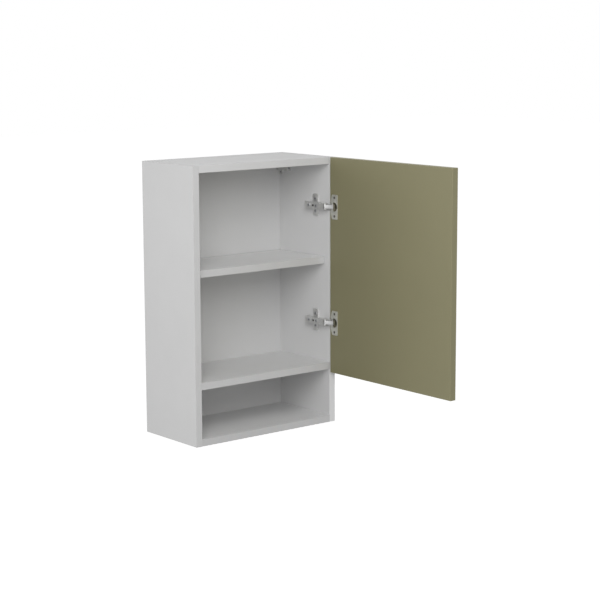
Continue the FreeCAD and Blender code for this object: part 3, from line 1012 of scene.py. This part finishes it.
@dataclass
class Carcass:
    """The boards, bands and joining hardware of the cabinet.

    Attributes:
        boards: The white boards and their edge bands, each paler or darker by painted light and shade.
        fittings: The metal pieces in and between the boards.
        dowels: The wooden pieces between the boards.
    """

    boards: tuple[WhiteBoard, ...] = (
        # Each share of white is painted light and shade: one white, made paler where more light falls and
        # darker where less does
        WhiteBoard("left_side_panel", tone=0.97),
        WhiteBoard("right_side_panel", tone=1.0),
        WhiteBoard("top_panel", tone=1.03),
        WhiteBoard("bottom_panel", tone=1.05),
        WhiteBoard("fixed_shelf", tone=1.04),
        WhiteBoard("adjustable_shelf", tone=1.17),
        WhiteBoard("back_panel", tone=0.94, roughness=0.58),
        WhiteBand("left_side_edge_band", tone=0.88),
        WhiteBand("right_side_edge_band", tone=1.11),
        WhiteBand("top_edge_band", tone=0.95, grain=Axis.X),
        WhiteBand("bottom_edge_band", tone=0.825, grain=Axis.X),
        WhiteBand("fixed_shelf_edge_band", tone=0.87, grain=Axis.X),
        WhiteBand("adjustable_shelf_edge_band", tone=0.89, grain=Axis.X),
    )
    fittings: tuple[str, ...] = ("shelf_pins", "top_cam_locks", "fixed_shelf_cam_locks", "bottom_cam_locks",
                                 "left_cam_bolts", "right_cam_bolts")
    dowels: tuple[str, ...] = ("left_dowels", "right_dowels")

    def build(self) -> None:
        """Dresses every board, band and fitting."""
        for board in self.boards:
            board.build()
        for nodes, finish in ((self.fittings, ZINC), (self.dowels, BEECH)):
            for node in nodes:
                dress(node, finish)


@dataclass
class Door:
    """The olive door.

    Attributes:
        panel: Its board.
        bands: Its edge bands.
    """

    panel: str = "door_panel"
    bands: str = "door_edge_bands"

    def build(self) -> None:
        """Dresses the door."""
        dress(self.panel, OLIVE_FACING)
        dress(self.bands, OLIVE_BAND)


@dataclass
class Hanger:
    """A wall hanger in one upper rear corner.

    Attributes:
        side: Left or right.
    """

    side: str

    def build(self) -> None:
        """Eases the housing and the hook."""
        stem = self.side + "_hanger_"
        pressings = (
            EasedPressing(stem + "body", "carcass", "hanger_housing", PALE_HOUSING, ease=0.6 * MM,
                          segments=3),
            EasedPressing(stem + "hook", "carcass", "hanger_steel", ZINC, ease=0.3 * MM),
        )
        for pressing in pressings:
            pressing.build()


@dataclass
class ConcealedHinge:
    """One concealed hinge, from its plate on the side panel to its cup in the door.

    Attributes:
        place: Upper or lower.
        lip: Depth of the cup's bright lip behind the door's inner face, in metres; past it the cup takes
            painted shade.
    """

    place: str
    lip: float = 0.3 * MM

    def under_arm(self) -> Hollow:
        """The channel under the arm, where the plate's block lies and takes painted shade.

        Returns:
            The hollow.
        """
        low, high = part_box(self.place + "_hinge_arm")
        return Hollow(low, high, PAINTED_SHADE)

    def in_cup(self) -> Hollow:
        """The inside of the cup, behind its lip, which takes painted shade.

        Returns:
            The hollow.
        """
        low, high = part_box(self.place + "_hinge_cup")
        door_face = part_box("door_panel")[0].x
        return Hollow(Vector((door_face + self.lip, low.y, low.z)), high, CUP_INSIDE)

    def build(self) -> None:
        """Eases the stamped and cast pieces and dresses the pins."""
        stem = self.place + "_hinge_"
        cup, arm = self.in_cup(), self.under_arm()
        pressings = (
            EasedPressing(stem + "plate", "carcass", "hinge_body", DULL_NICKEL, ease=0.35 * MM, hollow=arm),
            EasedPressing(stem + "arm", "carcass", "hinge_body", DULL_NICKEL, ease=0.4 * MM),
            EasedPressing(stem + "cup", "door", "hinge_body", NICKEL, ease=0.2 * MM, hollow=cup),
            EasedPressing(stem + "outer_link", "outer_links", "hinge_link", BRIGHT_NICKEL, ease=0.2 * MM,
                          hollow=cup),
            EasedPressing(stem + "inner_link", "inner_links", "hinge_link", BRIGHT_NICKEL, ease=0.2 * MM,
                          hollow=cup),
        )
        for pressing in pressings:
            pressing.build()
        # The pins in the cup take its painted shade
        pins = {"arm_pin": BRIGHT_NICKEL, "slide_pin": BRIGHT_NICKEL, "cup_pins": CUP_INSIDE}
        for pin, finish in pins.items():
            dress(stem + pin, finish)


@dataclass
class Screws:
    """Every screw of the two hinges and the two hangers.

    Attributes:
        hinges: Start of the hinges' node names.
        hangers: Start of the hangers' node names, left and right.
        hanger_head: Height of a hanger screw's head in metres.
        adjuster_head: Length of an adjuster that its recess is cut in, in metres.
    """

    hinges: tuple[str, ...] = ("upper_hinge_", "lower_hinge_")
    hangers: tuple[str, ...] = ("left_hanger_", "right_hanger_")
    hanger_head: float = 1.8 * MM
    adjuster_head: float = 2.0 * MM

    def sets(self) -> list[ScrewSet]:
        """The screws by kind and by the way that they face.

        Returns:
            The sets.
        """
        plate, arm, cup = (tuple(hinge + word for hinge in self.hinges)
                           for word in ("plate_screws", "arm_screws", "cup_screws"))
        left, right = (hanger + "screws" for hanger in self.hangers)
        adjusters = tuple(hanger + "adjusters" for hanger in self.hangers)
        return [
            ScrewSet("hinge_plate_screws", plate, "carcass", "hinge_screw", Facing.LEFT, seed=5),
            ScrewSet("hinge_arm_screws", arm, "carcass", "hinge_screw", Facing.LEFT, seed=8),
            # The cup screws take the darker zinc: painted shade round their heads
            ScrewSet("hinge_cup_screws", cup, "door", "hinge_screw", Facing.LEFT, seed=11,
                     plating=PAINTED_SHADE_ZINC, recess_share=1.56),
            ScrewSet("left_hanger_cross_screws", (left,), "carcass", "hanger_steel", Facing.RIGHT, seed=14,
                     head_height=self.hanger_head, dome_share=0.12),
            ScrewSet("right_hanger_cross_screws", (right,), "carcass", "hanger_steel", Facing.LEFT, seed=17,
                     head_height=self.hanger_head, dome_share=0.12),
            ScrewSet("hanger_cross_adjusters", adjusters, "carcass", "hanger_steel", Facing.FRONT, seed=20,
                     head_height=self.adjuster_head, dome_share=0.1, shank_share=0.97),
        ]

    def build(self) -> None:
        """Makes every set from one tree."""
        tree = ScrewTree()
        for screws in self.sets():
            screws.build(tree)


@dataclass(frozen=True)
class Lamp:
    """A square soft lamp that faces the cabinet.

    Attributes:
        name: The lamp's name.
        turn: Its place round the cabinet in degrees, from straight in front, positive to the right.
        rise: Its height above the cabinet's middle in degrees.
        away: Its distance in metres.
        size: Side of the lamp in metres.
        power: Its power in watts.
    """

    name: str
    turn: float
    rise: float
    away: float
    size: float
    power: float

    def build(self, aim: Vector) -> None:
        """Hangs the lamp and turns it to the cabinet.

        Args:
            aim: The point that it faces.
        """
        data = bpy.data.lights.new(self.name, "AREA")
        data.shape = "SQUARE"
        data.size = self.size
        data.energy = self.power
        lamp = link(self.name, data)
        turn, rise = math.radians(self.turn), math.radians(self.rise)
        level = math.cos(rise)
        ray = Vector((level * math.sin(turn), -level * math.cos(turn), math.sin(rise)))
        track = (-ray).to_track_quat("-Z", "Y").to_matrix().to_4x4()
        lamp.matrix_world = Matrix.Translation(aim + self.away * ray) @ track
        lamp.visible_camera = False
        log.info("lamp %s", self.name)


@dataclass
class Studio:
    """Pale floor, soft lamps and a white surround.

    Attributes:
        floor_level: Height of the floor under the hung cabinet.
        floor_size: Side of the floor.
        floor_tone: How much light the floor gives back.
        floor_lift: White that the floor adds in the picture, on top of the light that falls on it.
        surround: Strength of the even light from all round.
        aim: The point that the lamps face.
        lamps: The soft lamps.
    """

    floor_level: float = -1.4
    floor_size: float = 60.0
    floor_tone: float = 0.7
    floor_lift: float = 0.7
    surround: float = 0.47
    aim: Triple = (0.0, -0.2, 0.35)
    lamps: tuple[Lamp, ...] = (
        Lamp("key", turn=-37.0, rise=31.0, away=2.5, size=1.4, power=32.0),
        Lamp("front", turn=-30.0, rise=10.0, away=3.0, size=2.0, power=7.5),
        Lamp("side", turn=-60.0, rise=10.0, away=3.0, size=2.0, power=6.0),
        Lamp("rear_left", turn=-120.0, rise=10.0, away=4.5, size=2.4, power=32.0),
    )

    def world(self) -> None:
        """White to the camera, softer as a light."""
        world = bpy.data.worlds.new("white_surround")
        bpy.context.scene.world = world
        tree = ShaderTree(world, "ShaderNodeOutputWorld")
        light = tree.add("ShaderNodeBackground", Color=FULL_WHITE, Strength=self.surround).outputs[0]
        seen = tree.add("ShaderNodeBackground", Color=FULL_WHITE).outputs[0]
        tree.fill(tree.surface, tree.ordered("ShaderNodeMixShader", tree.seen_rays(), light, seen))

    def floor_material(self) -> bpy.types.Material:
        """Matt pale floor that reads as white from above, takes a shadow and is clear from below.

        Returns:
            The material.
        """
        material = bpy.data.materials.new("pale_floor")
        tree = ShaderTree(material, "ShaderNodeOutputMaterial")
        tone = (self.floor_tone, self.floor_tone, self.floor_tone, 1.0)
        matt = tree.add("ShaderNodeBsdfDiffuse", Color=tone).outputs[0]
        strength = tree.maths("MULTIPLY", tree.seen_rays(), self.floor_lift)
        lift = tree.add("ShaderNodeEmission", Color=FULL_WHITE, Strength=strength).outputs[0]
        pale = tree.ordered("ShaderNodeAddShader", matt, lift)
        clear = tree.add("ShaderNodeBsdfTransparent").outputs[0]
        below = tree.add("ShaderNodeNewGeometry").outputs["Backfacing"]
        tree.fill(tree.surface, tree.ordered("ShaderNodeMixShader", below, pale, clear))
        return material

    def floor(self) -> None:
        """A plain pale floor well below the cabinet."""
        reach = self.floor_size / 2
        mesh = bpy.data.meshes.new("floor")
        corners = [(-reach, -reach), (reach, -reach), (reach, reach), (-reach, reach)]
        mesh.from_pydata([(x, y, self.floor_level) for x, y in corners], [], [(0, 1, 2, 3)])
        mesh.materials.append(self.floor_material())
        link("floor", mesh)

    def build(self) -> None:
        """Makes the surround, the floor and the lamps."""
        bpy.context.scene.view_settings.view_transform = "Standard"
        self.world()
        self.floor()
        for lamp in self.lamps:
            lamp.build(Vector(self.aim))


@dataclass
class PhotoCamera:
    """The camera at the photograph's place.

    Attributes:
        eye: Its place in metres.
        yaw: Turn to the right from looking straight at the wall, in degrees.
        pitch: Tilt downwards in degrees.
        roll: Turn about its own axis in degrees.
        focal: Focal length as a share of the picture's width.
        sensor: Sensor width in millimetres.
        nearest: Distance at which its picture starts, in metres.
        farthest: Distance at which its picture ends, in metres.
    """

    eye: Triple = (-2.56294, -3.51178, 1.03033)
    yaw: float = 39.05
    pitch: float = 9.29
    roll: float = 0.22
    focal: float = 1667.22 / 600
    sensor: float = 36.0
    nearest: float = 0.05
    farthest: float = 200.0

    def build(self) -> None:
        """Makes the camera and gives it to the scene."""
        yaw, pitch, roll = (math.radians(value) for value in (self.yaw, self.pitch, self.roll))
        ahead = Vector((math.sin(yaw) * math.cos(pitch), math.cos(yaw) * math.cos(pitch), -math.sin(pitch)))
        level = Vector((math.cos(yaw), -math.sin(yaw), 0.0))
        down = ahead.cross(level)
        right = math.cos(roll) * level + math.sin(roll) * down
        below = -math.sin(roll) * level + math.cos(roll) * down
        data = bpy.data.cameras.new("photo_camera")
        data.sensor_width = self.sensor
        data.lens = self.focal * self.sensor
        data.clip_start, data.clip_end = self.nearest, self.farthest
        camera = link("photo_camera", data)
        turn = Matrix((right, -below, -ahead)).transposed().to_4x4()
        camera.matrix_world = Matrix.Translation(self.eye) @ turn
        bpy.context.scene.camera = camera


def main() -> None:
    """Builds the cabinet's looks in order."""
    logging.basicConfig(level=logging.INFO, format="%(name)s: %(message)s")
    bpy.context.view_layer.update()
    PhotoCamera().build()
    Studio().build()
    Carcass().build()
    Door().build()
    for side in ("left", "right"):
        Hanger(side).build()
    for place in ("upper", "lower"):
        ConcealedHinge(place).build()
    Screws().build()


if __name__ == "__main__":
    main()
